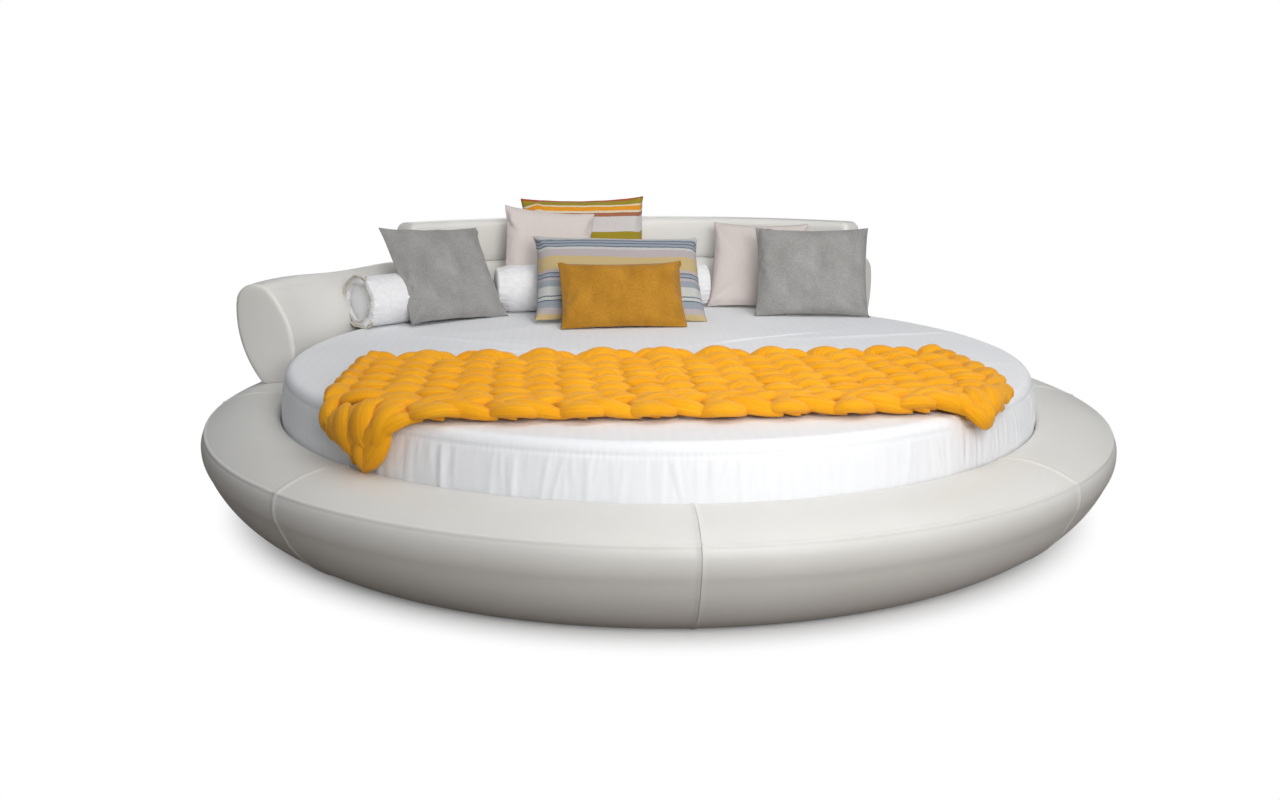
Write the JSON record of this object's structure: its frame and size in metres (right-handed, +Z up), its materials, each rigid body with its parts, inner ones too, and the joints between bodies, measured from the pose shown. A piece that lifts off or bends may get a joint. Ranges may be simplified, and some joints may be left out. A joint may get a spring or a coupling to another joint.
{
  "type": "round bed",
  "caption": "Round upholstered bed with a flared padded ring, a curved roll and headrest at the head, an inset round mattress on slats, and its bedding.",
  "frame": {"origin": "centre of the ring, on the floor", "axes": "+Z up; +Y from the centre towards the head end with the headrest; +X to the right seen from the foot end"},
  "size_m": [2.6168, 2.6168, 0.7776],
  "materials": {
    "leatherette": "soft satin, off-white, fine grain",
    "plywood": "raw birch plywood",
    "beech": "planed, clear",
    "plastic": "moulded",
    "zinc_steel": "zinc plated",
    "bracket_steel": "black powder coat",
    "mattress_ticking": "knitted ticking",
    "white_cotton": "plain cotton with fine stripes",
    "grey_velvet": "short pile",
    "pink_linen": "plain weave",
    "olive_stripe": "woven stripes",
    "blue_stripe": "woven stripes",
    "mustard_velvet": "short pile",
    "yellow_wool": "unspun merino roving, giant knit"
  },
  "bodies": {
    "bed_base": {"beam_hangers": "bracket_steel", "centre_beam": "beech", "centre_legs": "beech", "headrest": "leatherette", "headrest_board": "plywood", "headrest_pegs": "zinc_steel", "leg_feet": "plastic", "ring_glides": "plastic", "ring_inner_wall_1": "plywood", "ring_inner_wall_2": "plywood", "ring_inner_wall_3": "plywood", "ring_inner_wall_4": "plywood", "ring_joint_bolts": "zinc_steel", "ring_joint_ribs": "plywood", "ring_panel_1": "leatherette", "ring_panel_2": "leatherette", "ring_panel_3": "leatherette", "ring_panel_4": "leatherette", "ring_panel_5": "leatherette", "ring_panel_6": "leatherette", "ring_panel_7": "leatherette", "ring_panel_8": "leatherette", "ring_ribs": "plywood", "ring_soles": "plywood", "ring_top_board_1": "plywood", "ring_top_board_2": "plywood", "ring_top_board_3": "plywood", "ring_top_board_4": "plywood", "roll_arm": "leatherette", "roll_bolts": "zinc_steel", "roll_end_arm": "leatherette", "roll_end_right": "leatherette", "roll_left": "leatherette", "roll_piping_arm": "leatherette", "roll_piping_right": "leatherette", "roll_plate_arm": "plywood", "roll_plate_left": "plywood", "roll_plate_right": "plywood", "roll_right": "leatherette", "slat_caps_left": "plastic", "slat_caps_right": "plastic", "slat_frame_left": "beech", "slat_frame_right": "beech", "slat_ledges": "beech", "slats_left": "beech", "slats_right": "beech"},
    "mattress": {"bolster_centre": "white_cotton", "bolster_left": "white_cotton", "cushion_grey_left": "grey_velvet", "cushion_grey_right": "grey_velvet", "cushion_mustard": "mustard_velvet", "cushion_olive": "olive_stripe", "cushion_pink_left": "pink_linen", "cushion_pink_right": "pink_linen", "cushion_striped": "blue_stripe", "fitted_sheet": "white_cotton", "mattress": "mattress_ticking", "throw": "yellow_wool"}
  },
  "joints": [
    {"name": "mattress_lift", "type": "slide", "parent": "bed_base", "child": "mattress", "axis": [0, 0, 1], "range_m": [0, 0.3]}
  ]
}
